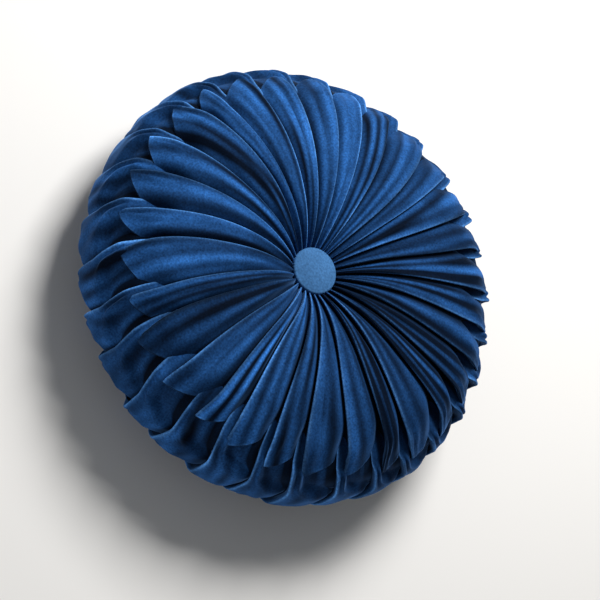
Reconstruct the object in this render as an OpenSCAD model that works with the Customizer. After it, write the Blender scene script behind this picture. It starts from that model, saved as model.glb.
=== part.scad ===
// Round tufted seat cushion: a pleated and smocked velvet cover over a fibre-filled
// casing, drawn in at the middle of both faces by a covered button on tufting twine.
// Lies flat on its back face, +Z up through both buttons, with z = 0 where it rests.

/* [Cushion] */
// Diameter across the side
cushion_d = 388; // [320:2:440]
// Height of the dome above the mid-plane, before the tuft draws it in
dome_h = 62; // [50:1:70]
// Depth by which the tuft draws each face in at the button
dimple_depth = 19; // [12:1:22]
// Radius over which the draw of the tuft dies away
dimple_reach = 25; // [15:1:35]
// Height from the resting face to the mid-plane
rest_h = 59.2; // [45:0.1:65]

/* [Cover] */
// Thickness of the pleated velvet, from the roots of its pleats to their folds
cover_t = 6; // [4:0.5:7]
// Pleats round the cover, one smocking stitch to each
pleats = 30; // [24:1:40]
// Gap between a button and the throat of pleats round it
throat_gap = 0.5; // [0.3:0.1:1]
// Radius of the gathered hole in the middle of each face
gather_r = 7; // [6:0.5:9]
// Height of the gathered floor of the throat above the mid-plane
throat_floor = 30; // [28:0.5:31]

/* [Insert] */
// Thickness of the casing cloth
casing_t = 1; // [0.6:0.1:1.5]
// Height of the casing's panel seams above and below the mid-plane
casing_seam_h = 34; // [25:1:40]
// Radius of the twine's way through the fill
channel_r = 6; // [5:0.5:8]

/* [Buttons] */
// Diameter of a covered button
button_d = 43; // [36:1:46]
// Height of a button's top above the mid-plane
button_top = 46; // [45:0.5:48]
// Radius of a button's domed top
button_dome_r = 60; // [50:1:80]
// Thickness of the velvet on a button
velvet_t = 1.2; // [0.8:0.1:1.5]
// Thickness of a button's metal shell
shell_t = 0.6; // [0.4:0.1:0.8]
// Diameter of the wire of a button's eye
wire_d = 1.4; // [1.2:0.1:1.6]
// Diameter of the tufting twine
twine_d = 2; // [1.6:0.1:2.2]

/* [Hidden] */

// Layers, as depths below the cover's outer surface
closing_seam_in = cover_t + 1.4;
thread_in = cover_t + 1.2;
casing_seam_in = cover_t + 2.1;
casing_in = cover_t + 2.5;
fill_in = casing_in + casing_t + 0.3;

// Sewing threads and stitches
thread_r = 0.3;
gathering_r = 0.6;
seam_gap = 0.1;                 // between the gusset and a panel, taken up by the stitches
smock_stitch_r = 0.5;
smock_stitch_len = 7;
smock_turn = 0.86;              // place along the outline, 0 at the middle to 1 at the side
seam_stitches = 30;             // along the cover's closing seam, on each face
seam_pitch_share = 0.7;         // stitch length over stitch pitch
closing_stitches = 15;
closing_arc = 40;               // degrees of gusset sewn up by hand after filling
closing_stitch_len = 8;
closing_slant = 35;
closing_seam_turn = (floor(pleats * 3 / 4) + 0.5) * 360 / pleats;

// Buttons
rim_r = 3.5;
lip_r = 14;                     // opening in a button's turned-in shell
plate_flange_r = lip_r + 2;
plate_fit = 0.3;
plate_t = 1;
eye_r = 3.6;                    // wire centre line
eye_drop = 6;                   // straight leg of the eye below the button
twine_r = twine_d / 2;
strand_y = 2.6;
knot_r = 2.6;
knot_z = 9;

throat_r = button_d / 2 + throat_gap;
rim_centre_r = button_d / 2 - rim_r;
rim_angle = asin(rim_centre_r / (button_dome_r - rim_r));
rim_centre_z = button_top - button_dome_r + (button_dome_r - rim_r) * cos(rim_angle);
button_under = rim_centre_z - rim_r;
eye_centre_z = button_under - eye_drop;
eye_bar_z = eye_centre_z - eye_r;
loop_centre_z = eye_bar_z + wire_d / 2 + twine_r + 0.1 - strand_y;

outline_steps = 34;
$fn = 96;
big = 300;

cover_blue = [0.10, 0.24, 0.46];
button_blue = [0.26, 0.44, 0.68];
thread_blue = [0.07, 0.16, 0.32];

// Outline of a layer, as [radius, height] at place v: 0 at the middle, 1 at the side
function turn_angle(v) = 45 * (1 - cos(180 * v));
function outline_r(v, depth) = (cushion_d / 2 - depth) * sqrt(sin(turn_angle(v)));
function draw_in(r, depth) = dimple_depth * exp(-(r - throat_r - depth) / dimple_reach);
function outline_z(v, depth) =
    (dome_h - depth - draw_in(outline_r(v, depth), depth)) * sqrt(cos(turn_angle(v)));
function outline_at(v, depth) = [outline_r(v, depth), outline_z(v, depth)];
function place_of(r, depth) =
    acos(1 - asin(pow(r / (cushion_d / 2 - depth), 2)) / 45) / 180;
function face_points(depth) =
    let (start = place_of(throat_r + depth, depth))
    [for (i = [0 : outline_steps]) outline_at(start + (1 - start) * i / outline_steps, depth)];
function flipped(points) = [for (i = [len(points) - 1 : -1 : 0]) [points[i][0], -points[i][1]]];

// Section through one half of the cushion, drawn in by depth all round
module section(depth) {
    floor_z = throat_floor - depth;
    face = concat([[0, floor_z], [throat_r + depth, floor_z]], face_points(depth));
    intersection() {
        polygon(concat(face, flipped([for (i = [0 : len(face) - 2]) face[i]])));
        translate([0, depth - rest_h]) square([big, big]);
    }
}

module layer(outer, inner) {
    difference() {
        section(outer);
        section(inner);
    }
}

// A body turned about the cushion's axis, stood on z = 0
module turned() {
    translate([0, 0, rest_h]) rotate_extrude($fn = 180) children();
}

module on_back_face() {
    translate([0, 0, rest_h]) rotate([180, 0, 0]) translate([0, 0, -rest_h]) children();
}

module ring(r, z, tube_r) {
    translate([0, 0, rest_h + z]) rotate_extrude($fn = 120) translate([r, 0]) circle(r = tube_r, $fn = 24);
}

module pleated_cover() {
    color(cover_blue) turned() difference() {
        layer(0, cover_t);
        translate([0, -big / 2]) square([gather_r, big]);
    }
}

// Stitches along one meridian, under the cover, on both faces
module seam_run() {
    first = place_of(throat_r + 12, closing_seam_in);
    pitch = (1 - first) / seam_stitches;
    for (i = [0 : seam_stitches - 1]) {
        a = outline_at(first + pitch * i, closing_seam_in);
        b = outline_at(first + pitch * (i + seam_pitch_share), closing_seam_in);
        along = b - a;
        translate([a[0], 0, a[1]]) rotate([0, atan2(along[0], along[1]), 0])
            cylinder(r = thread_r, h = norm(along), $fn = 16);
    }
}

module cover_closing_seam() {
    color(thread_blue) translate([0, 0, rest_h]) rotate([0, 0, closing_seam_turn]) {
        seam_run();
        mirror([0, 0, 1]) seam_run();
    }
}

module front_gathering_thread() {
    color(thread_blue) ring(gather_r + 1.5, throat_floor - cover_t - gathering_r - 0.2, gathering_r);
}

module back_gathering_thread() {
    on_back_face() front_gathering_thread();
}

module front_smocking_stitches() {
    at = outline_at(smock_turn, thread_in);
    color(thread_blue) for (i = [0 : pleats - 1])
        rotate([0, 0, i * 360 / pleats]) translate([at[0], -smock_stitch_len / 2, rest_h + at[1]])
            rotate([-90, 0, 0]) cylinder(r = smock_stitch_r, h = smock_stitch_len, $fn = 16);
}

module back_smocking_stitches() {
    on_back_face() front_smocking_stitches();
}

// The half of the casing above the seam, or below it
module casing_panel(side) {
    color("ghostwhite") turned() difference() {
        layer(casing_in, casing_in + casing_t);
        translate([0, side > 0 ? casing_seam_h - big : -casing_seam_h]) square([big, big]);
        translate([0, -big / 2]) square([gather_r, big]);
    }
}

module casing_front_panel() { casing_panel(1); }
module casing_back_panel() { casing_panel(-1); }

module casing_gusset() {
    color("whitesmoke") turned() intersection() {
        layer(casing_in, casing_in + casing_t);
        translate([cushion_d / 4, seam_gap - casing_seam_h]) square([big, 2 * (casing_seam_h - seam_gap)]);
    }
}

module casing_front_seam() {
    side = [for (p = face_points(casing_seam_in)) if (p[1] < casing_seam_h) p][0];
    color("white") ring(side[0], side[1], thread_r);
}

module casing_back_seam() {
    on_back_face() casing_front_seam();
}

// Hand stitches that close the slit in the gusset through which it was filled
module casing_closing_stitches() {
    color("white") for (i = [0 : closing_stitches - 1])
        rotate([0, 0, closing_arc * (i / (closing_stitches - 1) - 0.5)])
            translate([cushion_d / 2 - casing_seam_in, 0, rest_h])
                rotate([closing_slant, 0, 0])
                    cylinder(r = thread_r, h = closing_stitch_len, center = true, $fn = 16);
}

module fibre_fill() {
    color("snow") turned() difference() {
        section(fill_in);
        translate([0, -big / 2]) square([channel_r, big]);
    }
}

// One doubled length of twine: two strands, a loop through each button's eye and the knot
module tufting_twine() {
    color("wheat") translate([0, 0, rest_h]) {
        for (side = [-1, 1])
            translate([0, side * strand_y, -loop_centre_z])
                cylinder(r = twine_r, h = 2 * loop_centre_z, $fn = 32);
        for (end = [0, 1])
            mirror([0, 0, end]) translate([0, 0, loop_centre_z])
                rotate([90, 0, 90]) rotate_extrude(angle = 180, $fn = 64)
                    translate([strand_y, 0]) circle(r = twine_r, $fn = 32);
        translate([0, strand_y, knot_z]) sphere(r = knot_r, $fn = 48);
    }
}

// Outline of half a button, drawn in by depth
function button_points(depth) = concat(
    [for (i = [0 : 8]) let (a = rim_angle * i / 8)
        [(button_dome_r - depth) * sin(a), button_top - button_dome_r + (button_dome_r - depth) * cos(a)]],
    [for (i = [1 : 14]) let (a = rim_angle + (180 - rim_angle) * i / 14)
        [rim_centre_r + (rim_r - depth) * sin(a), rim_centre_z + (rim_r - depth) * cos(a)]],
    [[0, button_under + depth]]);

module button_layer(outer, inner) {
    difference() {
        polygon(button_points(outer));
        polygon(button_points(inner));
        translate([0, button_under - 1]) square([lip_r, 1 + inner]);
    }
}

module front_button_velvet() {
    color(button_blue) turned() button_layer(0, velvet_t);
}

module front_button_shell() {
    color("silver") turned() button_layer(velvet_t, velvet_t + shell_t);
}

module front_button_plate() {
    lip = velvet_t + shell_t;
    color("gainsboro") turned() {
        translate([0, button_under]) square([lip_r - plate_fit, lip + plate_t]);
        translate([0, button_under + lip]) square([plate_flange_r, plate_t]);
    }
}

module front_button_eye() {
    color("silver") translate([0, 0, rest_h + eye_centre_z]) {
        rotate([90, 180, 0]) rotate_extrude(angle = 180, $fn = 64)
            translate([eye_r, 0]) circle(d = wire_d, $fn = 32);
        for (side = [-1, 1])
            translate([side * eye_r, 0, 0]) cylinder(d = wire_d, h = eye_drop, $fn = 32);
    }
}

module back_button_velvet() { on_back_face() front_button_velvet(); }
module back_button_shell() { on_back_face() front_button_shell(); }
module back_button_plate() { on_back_face() front_button_plate(); }
module back_button_eye() { on_back_face() front_button_eye(); }

pleated_cover();
cover_closing_seam();
front_gathering_thread();
back_gathering_thread();
front_smocking_stitches();
back_smocking_stitches();
casing_front_panel();
casing_gusset();
casing_back_panel();
casing_front_seam();
casing_back_seam();
casing_closing_stitches();
fibre_fill();
tufting_twine();
front_button_velvet();
front_button_shell();
front_button_plate();
front_button_eye();
back_button_velvet();
back_button_shell();
back_button_plate();
back_button_eye();
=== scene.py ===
import math

import bmesh
import bpy
import numpy as np
from mathutils import Matrix, Vector


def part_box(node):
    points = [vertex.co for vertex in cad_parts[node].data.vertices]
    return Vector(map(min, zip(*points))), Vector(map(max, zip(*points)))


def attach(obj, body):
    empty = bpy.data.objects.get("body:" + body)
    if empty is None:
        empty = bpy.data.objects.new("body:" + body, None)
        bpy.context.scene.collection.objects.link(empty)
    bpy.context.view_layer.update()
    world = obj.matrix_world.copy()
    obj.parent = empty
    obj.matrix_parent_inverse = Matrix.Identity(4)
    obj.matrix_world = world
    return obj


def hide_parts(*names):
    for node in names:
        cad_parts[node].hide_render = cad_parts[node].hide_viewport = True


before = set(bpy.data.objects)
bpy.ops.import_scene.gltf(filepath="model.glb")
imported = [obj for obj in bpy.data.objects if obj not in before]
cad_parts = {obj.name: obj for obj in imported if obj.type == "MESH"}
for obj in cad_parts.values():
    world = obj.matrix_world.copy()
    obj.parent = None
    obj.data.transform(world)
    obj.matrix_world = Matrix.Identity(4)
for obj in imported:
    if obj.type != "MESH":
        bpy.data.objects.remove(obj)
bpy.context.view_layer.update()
lowest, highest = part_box("pleated_cover")

# the cushion's plain outline, which the cloth is worked over
cushion = {
    "radius": (highest.x - lowest.x) / 2,
    "midHeight": 0.0592,
    "dome": 0.062,
    "tuftDepth": 0.019,
    "tuftReach": 0.025,
    "throat": 0.0222,
    "pleats": 30,
    "under": 0.0065,          # depth of the folds' roots inside the outline
    "restSoft": 0.0022,       # height within which the underside is pressed flat
    "bed": 0.0014,            # how far a fold may sink below the roots
    "seamCover": 0.02,        # width of the cloth kept over the closing seam, in radians
    "paintedSheenSide": 176,       # where the pile's painted sheen is brightest, in degrees from +X
    "paintedSheenEnds": 134,       # and the line across the cushion along which its painted sheen is bright too
    "seed": 11,
}

camera = {
    "distance": 1.9,
    "tilt": 34.0,        # between the line of sight and the axis of the buttons
    "roll": 29.2,        # of that axis in the view, above the level
    "width": 0.5322,      # seen at the cushion's distance
    "aside": (0.0073, -0.0142),
}


def makeCamera():
    centre = Vector((0, 0, cushion["midHeight"]))
    tilt, roll = math.radians(camera["tilt"]), math.radians(camera["roll"])
    back = Vector((0, -math.sin(tilt), math.cos(tilt)))
    level = Vector((1, 0, 0))
    rise = back.cross(level)
    right = rise * math.cos(roll) + level * math.sin(roll)
    up = rise * math.sin(roll) - level * math.cos(roll)
    aim = centre + right * camera["aside"][0] + up * camera["aside"][1]
    data = bpy.data.cameras.new("camera")
    data.sensor_width = 36
    data.lens = data.sensor_width * camera["distance"] / camera["width"]
    shot = bpy.data.objects.new("camera", data)
    bpy.context.collection.objects.link(shot)
    turn = Matrix((right, up, back)).transposed().to_4x4()
    shot.matrix_world = Matrix.Translation(aim + back * camera["distance"]) @ turn
    bpy.context.scene.camera = shot
    return right, up, back


viewRight, viewUp, viewBack = makeCamera()
print("camera placed")

chance = np.random.default_rng(cushion["seed"])


# the meridian of the plain outline at some depth inside it, measured along its length
class Outline:
    def __init__(self, depth, start):
        radius, dome = cushion["radius"] - depth, cushion["dome"] - depth
        turn = np.pi / 4 * (1 - np.cos(np.pi * np.linspace(0, 1, 3000)))
        r = radius * np.sqrt(np.sin(turn))
        drawn = cushion["tuftDepth"] * np.exp((cushion["throat"] - r) / cushion["tuftReach"])
        z = (dome - drawn) * np.sqrt(np.clip(np.cos(turn), 0, None))
        keep = r >= start
        self.r, self.z = r[keep], z[keep]
        self.r = np.concatenate([self.r, self.r[-2::-1]])
        self.z = np.concatenate([self.z, -self.z[-2::-1]])
        self.s = np.concatenate([[0], np.cumsum(np.hypot(np.diff(self.r), np.diff(self.z)))])
        alongR, alongZ = np.gradient(self.r, self.s), np.gradient(self.z, self.s)
        size = np.hypot(alongR, alongZ)
        self.outR, self.outZ = -alongZ / size, alongR / size

    def at(self, s, height, turn):
        r = np.interp(s, self.s, self.r) + height * np.interp(s, self.s, self.outR)
        z = np.interp(s, self.s, self.z) + height * np.interp(s, self.s, self.outZ)
        return np.stack([r * np.cos(turn), r * np.sin(turn), z], -1)

    # how far along the outline a height is met, between the front's crest and the back's
    def reach(self, z):
        between = slice(int(np.argmax(self.z)), int(np.argmin(self.z)) + 1)
        return np.interp(-z, -self.z[between], self.s[between])


def ease(x, low, high):
    x = np.clip((x - low) / (high - low), 0, 1)
    return x * x * (3 - 2 * x)


def hill(x, middle, width):
    return np.exp(-((x - middle) / width) ** 2)


# a smooth curve through one pitch of a fold, which goes on into the next pitch
def foldCurve(points, samples):
    points = np.array(points, float)
    n = len(points)
    u = np.arange(samples) / samples * n
    i, f = np.floor(u).astype(int), u - np.floor(u)
    weights = ((1 - f) ** 3 / 6, (3 * f**3 - 6 * f**2 + 4) / 6,
               (-3 * f**3 + 3 * f**2 + 3 * f + 1) / 6, f**3 / 6)
    out = np.zeros((samples, 2))
    for step, weight in zip((-1, 0, 1, 2), weights):
        j = i + step
        out[:, 0] += weight * (points[j % n, 0] + np.floor_divide(j, n))
        out[:, 1] += weight * points[j % n, 1]
    return out


# one pitch of each fold: across it in pitches, and up from its root in fold heights
gatherFold = [
    (0.04, 0.60), (0.00, 0.86), (0.07, 1.02), (0.18, 1.05), (0.30, 0.95), (0.42, 0.75), (0.54, 0.48),
    (0.66, 0.25), (0.78, 0.10), (0.88, 0.02), (0.96, 0.00), (1.02, 0.05), (1.04, 0.20), (1.05, 0.38),
]
pleatFold = [
    (0.02, 0.76), (-0.018, 0.92), (0.005, 1.10), (0.06, 1.10), (0.20, 1.00), (0.40, 0.97), (0.60, 0.92),
    (0.76, 0.80), (0.88, 0.56), (0.975, 0.26), (1.05, 0.10), (1.13, 0.02), (1.13, 0.22), (1.08, 0.50),
]
puffFold = [
    (0.03, 0.66), (-0.012, 0.88), (0.01, 1.08), (0.07, 1.12), (0.24, 1.12), (0.42, 1.12), (0.60, 1.05),
    (0.78, 0.90), (0.91, 0.64), (0.99, 0.38), (1.05, 0.16), (1.10, 0.02), (1.10, 0.18), (1.07, 0.42),
]
stemFold = [
    (0.02, 0.60), (-0.01, 0.86), (0.02, 1.02), (0.07, 1.00), (0.115, 0.62), (0.155, 0.92), (0.21, 0.98),
    (0.27, 0.62), (0.34, 0.05), (0.55, -0.30), (0.80, -0.25), (0.98, -0.50), (1.05, -0.30), (1.04, 0.20),
]

count = cushion["pleats"]
pitchAngle = 2 * math.pi / count
outline = Outline(cushion["under"], cushion["throat"] + 0.0006)


# one random value for each pleat, kept within two of its spreads
def each(spread):
    return np.clip(chance.normal(0, spread, count), -2 * spread, 2 * spread)


# soft waves across and along each panel, different on every one
def waves(pleat, across, along, number, cycleRange, mostRuns):
    total = np.zeros(across.shape)
    for _ in range(number):
        cycles = chance.uniform(*cycleRange, count)
        runs = chance.uniform(-mostRuns, mostRuns, count)
        phase = chance.uniform(0, 2 * math.pi, count)
        share = chance.normal(0, 1, count)
        angle = 2 * math.pi * cycles[pleat] * across + runs[pleat] * along + phase[pleat]
        total += share[pleat] * np.cos(angle)
    return total / math.sqrt(number)


def ripple(pleat, across, along, size):
    return size * waves(pleat, across, along, 4, (0.5, 2.4), 14)


# the pile's painted sheen: painted sheen streaks along each pleat, some pleats paler at random, one side
# painted lighter, and a line across painted lighter too
def brushedAndSheen(pleat, across, along, turn):
    streaks = waves(pleat, across, along, 5, (0.6, 3.2), 7)
    side = np.cos(turn - math.radians(cushion["paintedSheenSide"]))
    ends = np.cos(2 * (turn - math.radians(cushion["paintedSheenEnds"])))
    ends *= np.clip(1.3 - 0.8 * along, 0.4, 1.3)
    return 0.68 * streaks + each(0.22)[pleat] + 0.32 * side + 0.30 * ends


# which pleat, which sample round it and which row along it each point of a cloth is
def gridOf(samples, rows):
    return np.meshgrid(np.arange(count), np.arange(samples), np.arange(rows), indexing="ij")


# 1 where a fold is shut away from the light, painted as shade
def shut(across, u):
    return np.maximum(ease(across, 0.87, 1.0), (u > 0.7)[None, :, None] * (u < 0.985)[None, :, None])


# a closed ring of cloth: a grid that runs round the cushion one way and along its outline the other
def clothRing(name, points, marks):
    across, along = points.shape[0] * points.shape[1], points.shape[2]
    points = points.reshape(across, along, 3)
    points = np.concatenate([points, points[:, :1]], 1)
    points = np.concatenate([points, points[:1]], 0)
    cloth = bmesh.new()
    bmesh.ops.create_grid(cloth, x_segments=across, y_segments=along, size=1)
    data = bpy.data.meshes.new(name)
    cloth.to_mesh(data)
    cloth.free()
    place = np.zeros(len(data.vertices) * 3, np.float32)
    data.vertices.foreach_get("co", place)
    place = place.reshape(-1, 3)
    i = np.rint((place[:, 0] + 1) / 2 * across).astype(int)
    j = np.rint((place[:, 1] + 1) / 2 * along).astype(int)
    data.vertices.foreach_set("co", points[i, j].astype(np.float32).ravel())
    for mark, values in marks.items():
        values = values.reshape(across, along)
        layer = data.attributes.new(mark, "FLOAT", "POINT")
        layer.data.foreach_set("value", values[i % across, j % along].astype(np.float32))
    cloth = bmesh.new()
    cloth.from_mesh(data)
    bmesh.ops.remove_doubles(cloth, verts=cloth.verts, dist=1e-6)
    bmesh.ops.recalc_face_normals(cloth, faces=cloth.faces)
    for part in cloth.faces:
        part.smooth = True
    cloth.to_mesh(data)
    cloth.free()
    made = bpy.data.objects.new(name, data)
    bpy.context.collection.objects.link(made)
    return made


seamLow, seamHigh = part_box("cover_closing_seam")
seamTurn = math.atan2(seamLow.y + seamHigh.y, seamLow.x + seamHigh.x)


# folds sink only a little below their roots, and not at all over the cover's closing seam
def settle(bump, turn):
    limit = cushion["bed"]
    past = (turn - seamTurn + math.pi) % (2 * math.pi) - math.pi
    sunk = -limit * (1 - np.exp(np.minimum(bump, 0) / limit)) * (1 - hill(past, 0, cushion["seamCover"]))
    return np.where(bump < 0, sunk, bump)


# from heights above the middle to heights above the floor, pressed flat where the cushion rests
def stand(points):
    z = cushion["midHeight"] + points[..., 2]
    soft = cushion["restSoft"]
    points[..., 2] = np.where(z < soft, soft * np.exp(np.minimum(z / soft, 1) - 1), z)
    return points


face = {
    "samples": 36,            # round each pleat
    "rows": 92,
    "height": 0.0062,         # of a pleat above its root
    "tips": (0.0315, -0.0325),     # heights of the pleats' points, on the front and on the back
    "pits": (0.0455, -0.0450),     # and of the pits between them
    "stray": 0.10,            # how unevenly the pleats are laid, in pitches
    "bow": 0.05,
    "twist": -0.27,           # how far every pleat bows the same way, in pitches
    "bulge": 0.0080,          # how far the filling lifts the front between its button and its edge
    "hem": 0.0011,            # radius of the rolled edge
    "tucked": 0.0036,         # how far the hem is drawn in against the smocking
    "inner": 0.0018,          # depth of the cloth's other layer
    "pinched": 0.16,          # share of the pleats with two short slits pinched in them
    "filled": 0.0016,         # how far the filling pushes up the middle of each panel
    "drawn": 0.0050,          # how far the pits are drawn in
    "throat": ((0.0150, 0.0262), (0.0205, 0.0272), (0.0219, 0.0305)),  # the cloth's way in, radius and height
    "turnedUnder": ((0.003, 0.0028), (0.008, 0.0036)),                 # the hem's way back, inwards and down
}


def pleatedFace(name, side):
    samples = face["samples"]
    tip = outline.reach(face["tips"][0] if side > 0 else -face["tips"][1])
    pit = outline.reach(face["pits"][0] if side > 0 else -face["pits"][1])
    gather, flat = foldCurve(gatherFold, samples), foldCurve(pleatFold, samples)
    u = np.arange(samples) / samples
    rows = np.linspace(0, 1, face["rows"]) ** 1.12
    pleat, sample, row = gridOf(samples, len(rows))
    down = rows[row]
    # the hem runs from each pleat's tip to the pit before the next pleat, then back under that pleat's fold
    back = ease(u, 0.66, 0.95)
    hem = (1 - np.clip(flat[:, 0], 0, 1) ** 1.5) * (1 - back) + back
    tipStray, pitStray = each(0.0022), each(0.0018)
    ends = np.concatenate([tipStray, tipStray[:1]])
    passed = back[sample]
    tips = tip + np.where(passed > 0, ends[pleat] * (1 - passed) + ends[pleat + 1] * passed, ends[pleat])
    arc = down * (pit + pitStray[pleat] + (tips - pit - pitStray[pleat]) * hem[sample])
    share = arc / tip
    spread = ease(share, 0.06, 0.42)
    across = gather[sample, 0] * (1 - spread) + flat[sample, 0] * spread
    lift = gather[sample, 1] * (1 - spread) + flat[sample, 1] * spread
    stray, curl, proud = each(face["stray"]), each(0.05), each(0.09)
    bow = each(face["bow"]) + face["twist"]

    def wander(which):
        which = which % count
        laid = stray[which] * ease(share, 0, 0.35) * (1 - 0.6 * ease(share, 0.8, 1))
        bowed = bow[which] * np.sin(math.pi * share**0.8)
        return laid + bowed + curl[which] * np.sin(2 * math.pi * share) * share

    frac = np.clip(across, 0, 1)
    beak = ease(share, 0.80, 1.0)
    turn = (pleat + across + wander(pleat) * (1 - frac) + wander(pleat + 1) * frac) * pitchAngle
    turn -= 0.02 * beak * (1 - frac) * pitchAngle
    crown = np.clip(np.sin(math.pi * frac), 0, 1)
    lift += ripple(pleat, across, share, 0.13) * crown * ease(share, 0.05, 0.3)
    lift += each(0.22)[pleat] * (frac - 0.45) * crown * ease(share, 0.15, 0.5)
    ray = chance.uniform(0.17, 0.26, count)[pleat] * (1.25 - 0.6 * beak)
    rays = 0.16 * hill(across, ray, 0.05)
    rays -= 0.30 * hill(across, ray * 0.55, 0.035)
    rays -= 0.22 * hill(across, ray * 1.55, 0.07)
    lift += ease(share, 0.66, 0.92) * (1 - 0.7 * ease(down, 0.88, 1.0)) * rays
    pinched = chance.random(count) < face["pinched"]
    pinch = pinched[pleat] * hill(share, 0.70, 0.13)
    slits = pinch * (hill(across, 0.36 + 0.12 * (share - 0.7), 0.030) + 0.9 * hill(across, 0.52, 0.034))
    lift -= 0.75 * slits
    height = face["height"] * (0.62 + 0.38 * ease(share, 0.02, 0.30))
    height *= 1 + proud[pleat] * ease(share, 0.1, 0.4)
    bump = height * lift
    bump += face["filled"] * crown * np.sin(math.pi * np.clip((share - 0.1) / 0.85, 0, 1))
    if side > 0:
        bump += face["bulge"] * np.sin(math.pi * np.clip(share / 0.93, 0, 1))
    bump -= ease(down, 0.78, 1.0) * ease(across, 0.50, 1.0) * face["drawn"]
    bump -= ease(down, 0.84, 1.0) * face["tucked"]
    bump = settle(bump, turn)
    points = outline.at(arc, bump, turn)
    end, endBump, endTurn = arc[:, :, -1], bump[:, :, -1], turn[:, :, -1]
    edges = []
    for angle in (35, 75, 120, 165):
        a = math.radians(angle)
        rolled = np.maximum(endBump - face["hem"] * (1 - math.cos(a)), -face["inner"])
        edges.append(outline.at(end + face["hem"] * math.sin(a), rolled, endTurn))
    for inward, drop in face["turnedUnder"]:
        edges.append(outline.at(end - inward, np.maximum(endBump - drop, -face["inner"]), endTurn))
    for stop in (0.72, 0.45, 0.18, 0.0):
        edges.append(outline.at(end * stop, np.full(end.shape, -face["inner"]), endTurn))
    first = turn[:, :, 0]
    throat = []
    for r, z in face["throat"]:
        throat.append(np.stack([r * np.cos(first), r * np.sin(first), np.full(first.shape, z)], -1))
    points = np.concatenate([np.stack(throat, 2), points, np.stack(edges, 2)], 2)
    shown = slice(len(throat), len(throat) + len(rows))
    fold = np.zeros(points.shape[:3])
    # painted highlight, with rubbed pile, along each fold edge, and a fainter painted highlight along the hem
    fold[:, :, shown] = hill((u + 0.5) % 1 - 0.5, 0.13, 0.05)[None, :, None]
    fold[:, :, shown.stop - 1:shown.stop + 1] += 0.15
    creaseShade = np.ones(points.shape[:3])
    # painted shade: darker towards the shut side of each fold, near the button and in the slits
    shaded = 0.34 * ease(across, 0.50, 0.97) + 0.35 * (1 - ease(share, 0.05, 0.40)) * ease(frac, 0.25, 0.8)
    shaded += 0.8 * np.minimum(slits, 1)
    creaseShade[:, :, shown] = np.maximum(shut(across, u), shaded)
    # painted sheen over the pile, with some pleats paler at random
    napAndSheen = np.zeros(points.shape[:3])
    napAndSheen[:, :, shown] = brushedAndSheen(pleat, across, share, turn)
    points[..., 2] *= side
    return clothRing(name, stand(points), {"foldEdge": fold, "creaseShade": creaseShade, "napAndSheen": napAndSheen})


band = {
    "samples": 40,
    "rows": 120,
    "reach": (0.0530, -0.0545),    # how far it runs in under the pleats
    "height": 0.0078,
    "stemHeight": 0.0084,
    "swell": 0.0016,
    "turned": -0.06,               # so that the stems meet the pleats' points, in pitches
    "dives": ((0.0315, 0.0405), (0.039, 0.048)),         # heights over which the stems go in, front and back
    "drawn": ((0.006, 0.024), (0.016, 0.031)),           # over which the puffs narrow to stems
    "tapers": ((0.042, 0.053), (0.044, 0.054)),          # and over which the hidden ends sink
    "stitchRows": (0.031, -0.035),
    "stitchDepth": 0.0028,
}


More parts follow.
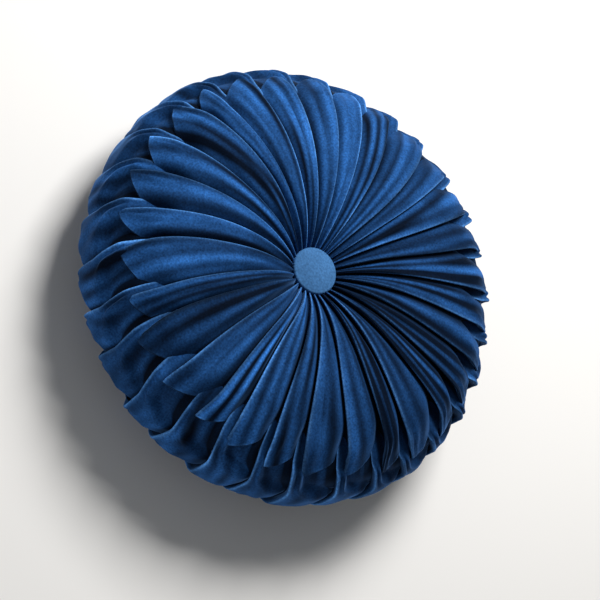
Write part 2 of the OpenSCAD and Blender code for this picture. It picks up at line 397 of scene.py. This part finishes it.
def smockedBand(name):
    samples = band["samples"]
    start, end = outline.reach(band["reach"][0]), outline.reach(band["reach"][1])
    rows = np.linspace(start, end, band["rows"])
    pleat, sample, row = gridOf(samples, len(rows))
    z = np.interp(rows, outline.s, outline.z)[row]
    puff, stem = foldCurve(puffFold, samples), foldCurve(stemFold, samples)
    rise = each(0.003)
    drawn = ease(z + rise[pleat], *band["drawn"][0]) + ease(-z + rise[pleat], *band["drawn"][1])
    across = puff[sample, 0] * (1 - drawn) + stem[sample, 0] * drawn
    lift = puff[sample, 1] * (1 - drawn) + stem[sample, 1] * drawn
    line = band["turned"] - 0.30 * ease(z, 0.008, 0.050) - 0.30 * ease(-z, 0.020, 0.062)
    stray, lean, proud = each(0.05), each(0.05), each(0.08)

    def wander(which):
        which = which % count
        return stray[which] + lean[which] * z / 0.04

    frac = np.clip(across, 0, 1)
    turn = (pleat + line + across + wander(pleat) * (1 - frac) + wander(pleat + 1) * frac) * pitchAngle
    crown = np.clip(np.sin(math.pi * frac), 0, 1)
    lift += ripple(pleat, across, z / 0.05, 0.07) * crown
    lift += 0.30 * hill(across, 0.66, 0.07) * drawn                   # a small ridge in each facet
    bump = (band["height"] * (1 - drawn) + band["stemHeight"] * drawn) * lift * (1 + proud[pleat])
    bump += band["swell"] * hill(z, -0.005, 0.020)
    frontRow, backRow = band["stitchRows"]
    bump -= band["stitchDepth"] * (hill(z, frontRow, 0.009) + hill(z, backRow, 0.009))
    bump -= 0.003 * ease(z, *band["tapers"][0]) + 0.003 * ease(-z, *band["tapers"][1])
    bump *= 1 - 0.9 * ease(z, *band["dives"][0]) - 0.9 * ease(-z, *band["dives"][1])
    bump = settle(bump, turn)
    points = outline.at(rows[row], bump, turn)
    inner = []
    for stop in (1.0, 0.75, 0.5, 0.25, 0.0):
        s = np.full(turn.shape[:2], start + (end - start) * stop)
        inner.append(outline.at(s, np.full(s.shape, -face["inner"]), turn[:, :, -1 if stop > 0.5 else 0]))
    points = np.concatenate([points, np.stack(inner, 2)], 2)
    u = np.arange(samples) / samples
    # painted sheen over the pile, at half strength on the band
    napAndSheen = np.zeros(points.shape[:3])
    napAndSheen[:, :, :len(rows)] = brushedAndSheen(pleat, across, z / 0.05, turn) * 0.5
    fold = np.zeros(points.shape[:3])
    # painted highlight, with rubbed pile, along each fold edge
    fold[:, :, :len(rows)] = hill((u + 0.5) % 1 - 0.5, 0.13, 0.05)[None, :, None]
    creaseShade = np.ones(points.shape[:3])
    # painted shade in the facets between the stems
    shaded = 0.6 * drawn * ease(across, 0.27, 0.36) * (1 - hill(across, 0.66, 0.09))
    creaseShade[:, :, :len(rows)] = np.maximum(shut(across, u), shaded)
    return clothRing(name, stand(points), {"foldEdge": fold, "creaseShade": creaseShade, "napAndSheen": napAndSheen})


frontFace = pleatedFace("frontPleats", 1)
sideBand = smockedBand("smockedSide")
backFace = pleatedFace("backPleats", -1)
print("cover shaped")


# a function that adds maths nodes to a group, each fed by sockets or by plain numbers
def mathsIn(group):
    def maths(operation, first, second=0.0):
        node = group.nodes.new("ShaderNodeMath")
        node.operation = operation
        for socket, value in zip(node.inputs, (first, second)):
            if isinstance(value, (int, float)):
                socket.default_value = value
            else:
                group.links.new(value, socket)
        return node.outputs["Value"]
    return maths


# the pile's colour and height: fine flecks, brushed patches, painted highlights with rubbed pile along the
# folds, painted shade in the shut ones, and painted sheen over the pile
def pileGroup():
    group = bpy.data.node_groups.new("pile", "ShaderNodeTree")
    for label, kind, start in (("Colour", "NodeSocketColor", (0.01, 0.05, 0.15, 1)),
                               ("Edge Colour", "NodeSocketColor", (0.05, 0.15, 0.40, 1)),
                               ("Fleck", "NodeSocketFloat", 0.4), ("Brushed", "NodeSocketFloat", 0.3),
                               ("Edge", "NodeSocketFloat", 0), ("Crease Shade", "NodeSocketFloat", 0),
                               ("Nap And Sheen", "NodeSocketFloat", 0)):
        group.interface.new_socket(label, in_out="INPUT", socket_type=kind).default_value = start
    for label, kind in (("Colour", "NodeSocketColor"), ("Height", "NodeSocketFloat")):
        group.interface.new_socket(label, in_out="OUTPUT", socket_type=kind)
    add, link, maths = group.nodes.new, group.links.new, mathsIn(group)
    start, end = add("NodeGroupInput"), add("NodeGroupOutput")
    place = add("ShaderNodeTexCoord")

    def noise(scale, detail, distortion=0):
        node = add("ShaderNodeTexNoise")
        node.inputs["Scale"].default_value = scale
        node.inputs["Detail"].default_value = detail
        node.inputs["Distortion"].default_value = distortion
        link(place.outputs["Object"], node.inputs["Vector"])
        return node.outputs["Fac"]

    def around(value, strength):
        centred = maths("MULTIPLY", maths("SUBTRACT", value, 0.5), 4)
        return maths("ADD", maths("MULTIPLY", centred, strength), 1)

    fleck, patches = noise(560, 4), noise(26, 3, 0.8)
    shade = around(fleck, start.outputs["Fleck"])
    shade = maths("MULTIPLY", shade, around(patches, start.outputs["Brushed"]))
    # painted sheen and light over the pile scale the colour
    lieAndSheen = maths("MAXIMUM", maths("ADD", 1, start.outputs["Nap And Sheen"]), 0.15)
    shade = maths("MULTIPLY", shade, maths("POWER", lieAndSheen, 1.25))
    # painted highlight and rubbed pile lighten the colour along the folds
    rubbedAndHighlit = maths("MULTIPLY", start.outputs["Edge"], maths("ADD", noise(70, 2), 0.35))
    mix = add("ShaderNodeMix")
    mix.data_type = "RGBA"
    link(rubbedAndHighlit, mix.inputs["Factor"])
    link(start.outputs["Colour"], mix.inputs["A"])
    link(start.outputs["Edge Colour"], mix.inputs["B"])
    # painted shade in the creases darkens the colour
    shade = maths("MULTIPLY", shade, maths("SUBTRACT", 1, maths("MULTIPLY", start.outputs["Crease Shade"], 0.93)))
    scaled = add("ShaderNodeVectorMath")
    scaled.operation = "SCALE"
    link(mix.outputs["Result"], scaled.inputs[0])
    link(maths("MAXIMUM", shade, 0.02), scaled.inputs["Scale"])
    link(scaled.outputs["Vector"], end.inputs["Colour"])
    height = maths("ADD", maths("MULTIPLY", fleck, 0.7), maths("MULTIPLY", noise(1300, 2), 0.4))
    link(height, end.inputs["Height"])
    return group


pile = pileGroup()


velvets = {
    "velvet": {
        "colour": (0.0080, 0.041, 0.130),
        # the colour of the painted highlight and rubbed pile along the folds
        "edge": (0.055, 0.17, 0.41),
        "fleck": 0.48,
        "brushedAndSheen": 0.34,
    },
    # the button's velvet is painted lighter than the cover's, partly as painted light on its face turned to
    # the lamp and partly as its own brushed pile
    "buttonVelvet": {
        "colour": (0.050, 0.150, 0.33),
        "edge": (0.10, 0.23, 0.50),
        "fleck": 0.30,
        "brushedAndSheen": 0.16,
    },
}


# marked velvet reads the painted highlights on its folds, the painted shade in its creases and the painted
# sheen over its pile from the cloth's own attributes
def velvetMaterial(name, marked):
    look = velvets[name]
    made = bpy.data.materials.new(name)
    made.use_nodes = True
    nodes, link = made.node_tree.nodes, made.node_tree.links.new
    shader = nodes["Principled BSDF"]
    napAndSheen = nodes.new("ShaderNodeGroup")
    napAndSheen.node_tree = pile
    napAndSheen.inputs["Colour"].default_value = (*look["colour"], 1)
    napAndSheen.inputs["Edge Colour"].default_value = (*look["edge"], 1)
    napAndSheen.inputs["Fleck"].default_value = look["fleck"]
    napAndSheen.inputs["Brushed"].default_value = look["brushedAndSheen"]
    if marked:
        for attribute, socket in (("foldEdge", "Edge"), ("creaseShade", "Crease Shade"), ("napAndSheen", "Nap And Sheen")):
            mark = nodes.new("ShaderNodeAttribute")
            mark.attribute_name = attribute
            link(mark.outputs["Fac"], napAndSheen.inputs[socket])
    link(napAndSheen.outputs["Colour"], shader.inputs["Base Color"])
    bump = nodes.new("ShaderNodeBump")
    bump.inputs["Strength"].default_value = 0.14
    bump.inputs["Distance"].default_value = 0.0006
    link(napAndSheen.outputs["Height"], bump.inputs["Height"])
    link(bump.outputs["Normal"], shader.inputs["Normal"])
    shader.inputs["Roughness"].default_value = 0.8
    shader.inputs["Specular IOR Level"].default_value = 0.04
    shader.inputs["Sheen Weight"].default_value = 0.50
    shader.inputs["Sheen Roughness"].default_value = 0.34
    shader.inputs["Sheen Tint"].default_value = (0.17, 0.43, 1.0, 1)
    return made


velvet = velvetMaterial("velvet", True)
buttonVelvet = velvetMaterial("buttonVelvet", False)
for piece in (frontFace, sideBand, backFace):
    piece.data.materials.append(velvet)
    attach(piece, "cushion")
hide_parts("pleated_cover")

button = {
    "dome": 0.060,            # radius of its face
    "rim": 0.0022,            # radius of its rounded edge
    "cloth": 0.0011,          # thickness of the velvet
    "lap": 0.0046,            # width of the cloth turned in underneath
    "tucks": 44,              # small tucks round the edge
    "tuckDepth": 0.00022,
    "steps": 176,             # round the spun shell
    "uneven": 0.00012,        # how far its face is from an even dome
}


# the velvet over a button: a closed shell spun from its section, with tucks where the cloth turns under
def coveredButton(name, node, side):
    low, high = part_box(node)
    top, under = (high.z, low.z) if side > 0 else (low.z, high.z)
    radius = (high.x - low.x) / 2 - button["tuckDepth"]
    dome, rim, cloth = button["dome"], button["rim"], button["cloth"]
    flatR = radius - rim

    def crown(r, depth):
        return top - side * (dome - math.sqrt(dome**2 - r**2) + depth)

    shoulder = crown(flatR, 0) - side * rim
    section = [(r, crown(r, 0)) for r in np.linspace(0, flatR, 22)]
    for angle in np.linspace(0.35, math.pi / 2, 5):
        section.append((flatR + rim * math.sin(angle), shoulder + side * rim * math.cos(angle)))
    foot = under + side * 0.0011
    section += [(radius, foot), (radius - 0.0004, under + side * 0.0004), (radius - 0.0013, under)]
    section += [(radius - button["lap"], under), (radius - button["lap"], under + side * cloth * 0.6)]
    section += [(radius - cloth - 0.0010, under + side * cloth * 0.8), (radius - cloth, foot + side * 0.0007)]
    section.append((radius - cloth, shoulder))
    section += [(r, crown(r, cloth)) for r in np.linspace(flatR - 0.0002, 0, 8)]
    work = bmesh.new()
    verts = [work.verts.new((r, 0, z)) for r, z in section]
    edges = [work.edges.new(pair) for pair in zip(verts, verts[1:])]
    bmesh.ops.spin(work, geom=verts + edges, cent=(0, 0, 0), axis=(0, 0, 1), angle=2 * math.pi,
                   steps=button["steps"], use_merge=True)
    bmesh.ops.remove_doubles(work, verts=work.verts, dist=1e-6)
    tilt, phases = chance.uniform(-0.5, 0.5, 6), chance.uniform(0, 2 * math.pi, 6)
    for vert in work.verts:
        r, turn = math.hypot(vert.co.x, vert.co.y), math.atan2(vert.co.y, vert.co.x)
        if r < 1e-5:
            continue
        uneven = sum(t * math.cos((n + 2) * turn + p) for n, (t, p) in enumerate(zip(tilt, phases)))
        edge = float(ease(r, radius * 0.90, radius)) * min(1, max(0, side * (top - vert.co.z) / 0.004))
        tuck = button["tuckDepth"] * math.cos(button["tucks"] * turn + 1.5 * uneven)
        tuck *= 0.6 + 0.4 * math.cos(3 * turn)
        scale = 1 + tuck * edge / r
        vert.co.x, vert.co.y = vert.co.x * scale, vert.co.y * scale
        vert.co.z += side * button["uneven"] * uneven * (r / radius) * (1 - edge)
    bmesh.ops.recalc_face_normals(work, faces=work.faces)
    for part in work.faces:
        part.smooth = True
    data = bpy.data.meshes.new(name)
    work.to_mesh(data)
    work.free()
    made = bpy.data.objects.new(name, data)
    bpy.context.collection.objects.link(made)
    data.materials.append(buttonVelvet)
    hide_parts(node)
    return made


for prefix, side in (("front", 1), ("back", -1)):
    covered = coveredButton(prefix + "ButtonCover", prefix + "_button_velvet", side)
    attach(covered, prefix + "_button")
print("buttons covered")


def newMaterial(name, colour, roughness, metallic=0.0):
    made = bpy.data.materials.new(name)
    made.use_nodes = True
    shader = made.node_tree.nodes["Principled BSDF"]
    shader.inputs["Base Color"].default_value = (*colour, 1)
    shader.inputs["Roughness"].default_value = roughness
    shader.inputs["Metallic"].default_value = metallic
    return made, made.node_tree, shader


# two sets of yarns crossing, or with one direction only the lie of a twisted thread, with fuzz over them
def yarnGroup():
    group = bpy.data.node_groups.new("yarns", "ShaderNodeTree")
    for label, kind, start in (("Colour", "NodeSocketColor", (0.8, 0.8, 0.78, 1)),
                               ("Per Metre", "NodeSocketFloat", 1500),
                               ("Crossing", "NodeSocketFloat", 1), ("Fuzz", "NodeSocketFloat", 0.3)):
        group.interface.new_socket(label, in_out="INPUT", socket_type=kind).default_value = start
    for label, kind in (("Colour", "NodeSocketColor"), ("Height", "NodeSocketFloat")):
        group.interface.new_socket(label, in_out="OUTPUT", socket_type=kind)
    add, link, maths = group.nodes.new, group.links.new, mathsIn(group)
    start, end = add("NodeGroupInput"), add("NodeGroupOutput")
    place = add("ShaderNodeTexCoord")
    split = add("ShaderNodeSeparateXYZ")
    link(place.outputs["Object"], split.inputs["Vector"])

    slanted = maths("ADD", split.outputs["X"], split.outputs["Z"])
    perMetre = start.outputs["Per Metre"]
    warp = maths("SINE", maths("MULTIPLY", maths("ADD", slanted, split.outputs["Y"]), perMetre))
    weft = maths("SINE", maths("MULTIPLY", maths("SUBTRACT", slanted, split.outputs["Y"]), perMetre))
    cloth = maths("ADD", warp, maths("MULTIPLY", weft, start.outputs["Crossing"]))
    fuzz = add("ShaderNodeTexNoise")
    fuzz.inputs["Scale"].default_value = 420
    fuzz.inputs["Detail"].default_value = 4
    link(place.outputs["Object"], fuzz.inputs["Vector"])
    rough = maths("MULTIPLY", maths("SUBTRACT", fuzz.outputs["Fac"], 0.5), start.outputs["Fuzz"])
    shade = maths("ADD", maths("ADD", maths("MULTIPLY", cloth, 0.05), maths("MULTIPLY", rough, 0.8)), 0.95)
    scaled = add("ShaderNodeVectorMath")
    scaled.operation = "SCALE"
    link(start.outputs["Colour"], scaled.inputs[0])
    link(shade, scaled.inputs["Scale"])
    link(scaled.outputs["Vector"], end.inputs["Colour"])
    link(maths("ADD", maths("MULTIPLY", cloth, 0.25), maths("MULTIPLY", rough, 2)), end.inputs["Height"])
    return group


yarns = yarnGroup()


def yarnMaterial(name, colour, perMetre, crossing, fuzz, sheen):
    made, tree, shader = newMaterial(name, colour, 0.85)
    twist = tree.nodes.new("ShaderNodeGroup")
    twist.node_tree = yarns
    values = {"Colour": (*colour, 1), "Per Metre": perMetre, "Crossing": crossing, "Fuzz": fuzz}
    for label, value in values.items():
        twist.inputs[label].default_value = value
    bump = tree.nodes.new("ShaderNodeBump")
    bump.inputs["Strength"].default_value = 0.14
    bump.inputs["Distance"].default_value = 0.0004
    tree.links.new(twist.outputs["Colour"], shader.inputs["Base Color"])
    tree.links.new(twist.outputs["Height"], bump.inputs["Height"])
    tree.links.new(bump.outputs["Normal"], shader.inputs["Normal"])
    shader.inputs["Sheen Weight"].default_value = sheen
    return made


def metalMaterial(name, colour, roughness, grain):
    made, tree, shader = newMaterial(name, colour, roughness, 1.0)
    place, marks = tree.nodes.new("ShaderNodeTexCoord"), tree.nodes.new("ShaderNodeTexNoise")
    marks.inputs["Scale"].default_value = grain
    marks.inputs["Detail"].default_value = 5
    spread = tree.nodes.new("ShaderNodeMapRange")
    spread.inputs["To Min"].default_value = roughness - 0.12
    spread.inputs["To Max"].default_value = roughness + 0.15
    bump = tree.nodes.new("ShaderNodeBump")
    bump.inputs["Strength"].default_value = 0.14
    bump.inputs["Distance"].default_value = 0.0001
    tree.links.new(place.outputs["Object"], marks.inputs["Vector"])
    tree.links.new(marks.outputs["Fac"], spread.inputs["Value"])
    tree.links.new(spread.outputs["Result"], shader.inputs["Roughness"])
    tree.links.new(marks.outputs["Fac"], bump.inputs["Height"])
    tree.links.new(bump.outputs["Normal"], shader.inputs["Normal"])
    return made


finishes = {
    "pleated_cover": velvet,
    "button_velvet": buttonVelvet,
    "smocking_stitches": yarnMaterial("blueThread", (0.010, 0.055, 0.17), 5200, 0.0, 0.3, 0.1),
    "casing_front_panel": yarnMaterial("casingCloth", (0.80, 0.80, 0.77), 5600, 1.0, 0.35, 0.2),
    "casing_front_seam": yarnMaterial("whiteThread", (0.86, 0.86, 0.83), 5200, 0.0, 0.3, 0.1),
    "fibre_fill": yarnMaterial("fibre", (0.88, 0.88, 0.86), 240, 0.4, 1.1, 0.6),
    "tufting_twine": yarnMaterial("twine", (0.62, 0.54, 0.40), 3400, 0.0, 0.7, 0.2),
    "button_shell": metalMaterial("buttonMetal", (0.62, 0.63, 0.64), 0.42, 160),
    "button_eye": metalMaterial("eyeWire", (0.42, 0.42, 0.43), 0.34, 600),
}
sharing = {
    "smocking_stitches": ("gathering_thread", "cover_closing_seam"),
    "casing_front_panel": ("casing_gusset", "casing_back_panel"),
    "casing_front_seam": ("casing_back_seam", "casing_closing_stitches"),
    "button_shell": ("button_plate",),
}
for node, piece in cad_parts.items():
    for label, finish in finishes.items():
        if any(part in node for part in (label, *sharing.get(label, ()))):
            for place in piece.material_slots:
                place.material = finish
            break
    else:
        raise ValueError("no finish for " + node)
print("finishes given")

floorMaterial = bpy.data.materials.new("floor")
floorMaterial.use_nodes = True
floorShader = floorMaterial.node_tree.nodes["Principled BSDF"]
floorShader.inputs["Base Color"].default_value = (0.80, 0.78, 0.75, 1)
floorShader.inputs["Roughness"].default_value = 0.9
ground = bmesh.new()
bmesh.ops.create_grid(ground, x_segments=1, y_segments=1, size=4)
groundData = bpy.data.meshes.new("floor")
ground.to_mesh(groundData)
ground.free()
floor = bpy.data.objects.new("floor", groundData)
bpy.context.collection.objects.link(floor)
floor.location.z = lowest.z - 0.0005
groundData.materials.append(floorMaterial)


def areaLight(name, across, rise, towards, size, power, colour=(1, 1, 1)):
    data = bpy.data.lights.new(name, "AREA")
    data.size, data.energy, data.color = size, power, colour
    lamp = bpy.data.objects.new(name, data)
    bpy.context.collection.objects.link(lamp)
    centre = Vector((0, 0, cushion["midHeight"]))
    lamp.location = centre + viewRight * across + viewUp * rise + viewBack * towards
    lamp.rotation_mode = "QUATERNION"
    lamp.rotation_quaternion = (lamp.location - centre).to_track_quat("Z", "Y")


areaLight("key", 1.00, 1.25, 0.62, 0.75, 44)
areaLight("fill", -1.2, -0.9, 1.0, 1.2, 17)
world = bpy.data.worlds.new("studio")
bpy.context.scene.world = world
world.use_nodes = True
world.node_tree.nodes["Background"].inputs["Color"].default_value = (0.9, 0.95, 1, 1)
world.node_tree.nodes["Background"].inputs["Strength"].default_value = 0.14
bpy.context.scene.view_settings.view_transform = "Standard"
